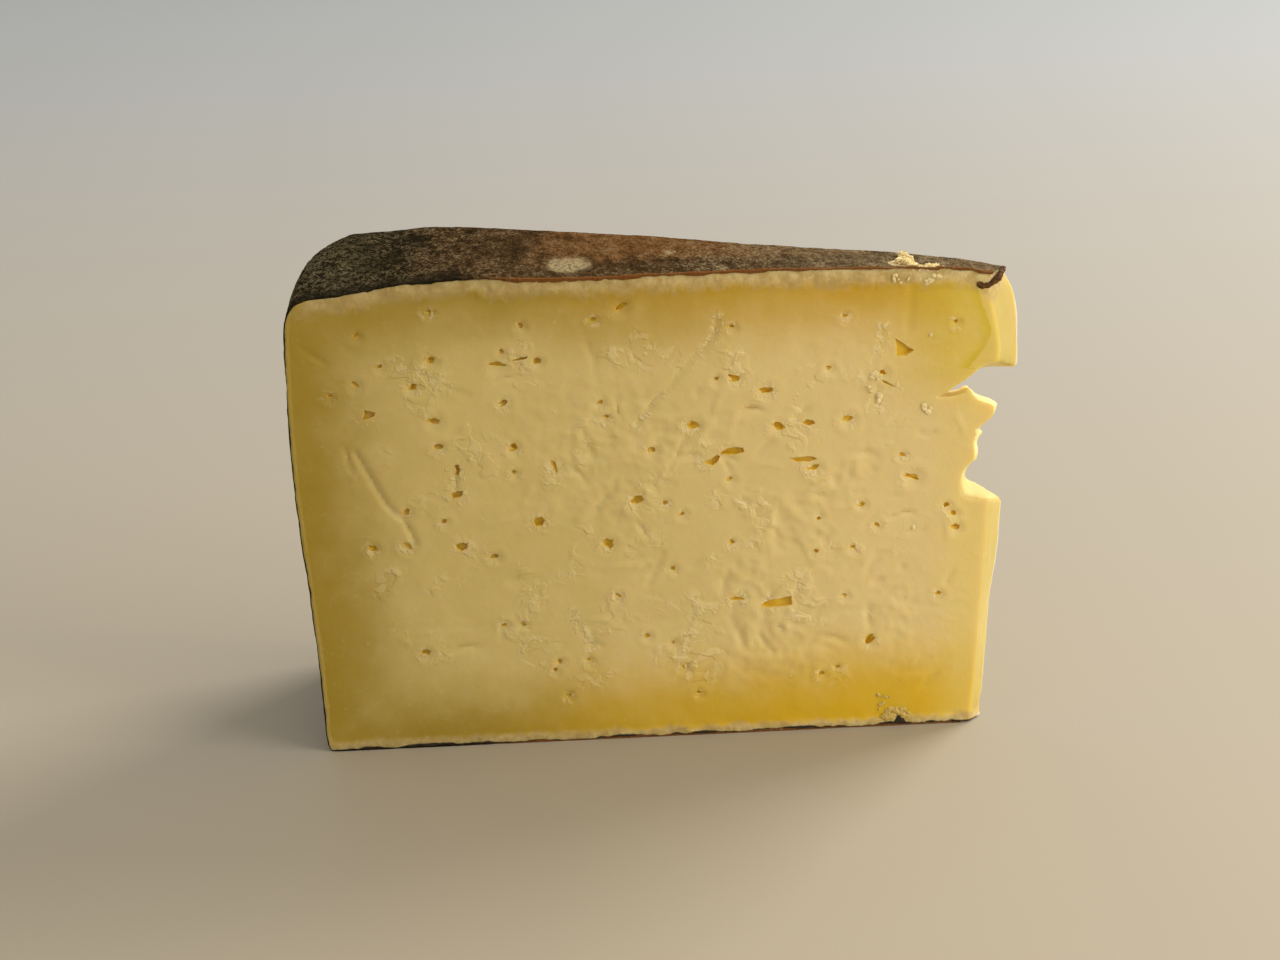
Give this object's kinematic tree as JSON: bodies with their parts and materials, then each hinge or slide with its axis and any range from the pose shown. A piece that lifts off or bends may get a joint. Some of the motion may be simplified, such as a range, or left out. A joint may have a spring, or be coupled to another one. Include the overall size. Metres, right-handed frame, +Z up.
{
  "type": "caerphilly cheese wedge",
  "caption": "Upright wedge cut from a tall moulded cheese wheel, with a dark natural rind, open cut faces with curd eyes, and a broken nose.",
  "frame": {"origin": "middle of the bounding box, on the flat base that the wedge stands on", "axes": "+Z up, +X along the front cut from the rim towards the nose, +Y from the front cut towards the back cut"},
  "size_m": [0.1214, 0.0416, 0.0833],
  "materials": {
    "paste": "moist, close, creamy paste, matt to satin",
    "rind": "dry mottled mould rind, matt"
  },
  "bodies": {
    "root": {"cheese_wedge": "paste"}
  },
  "joints": []
}
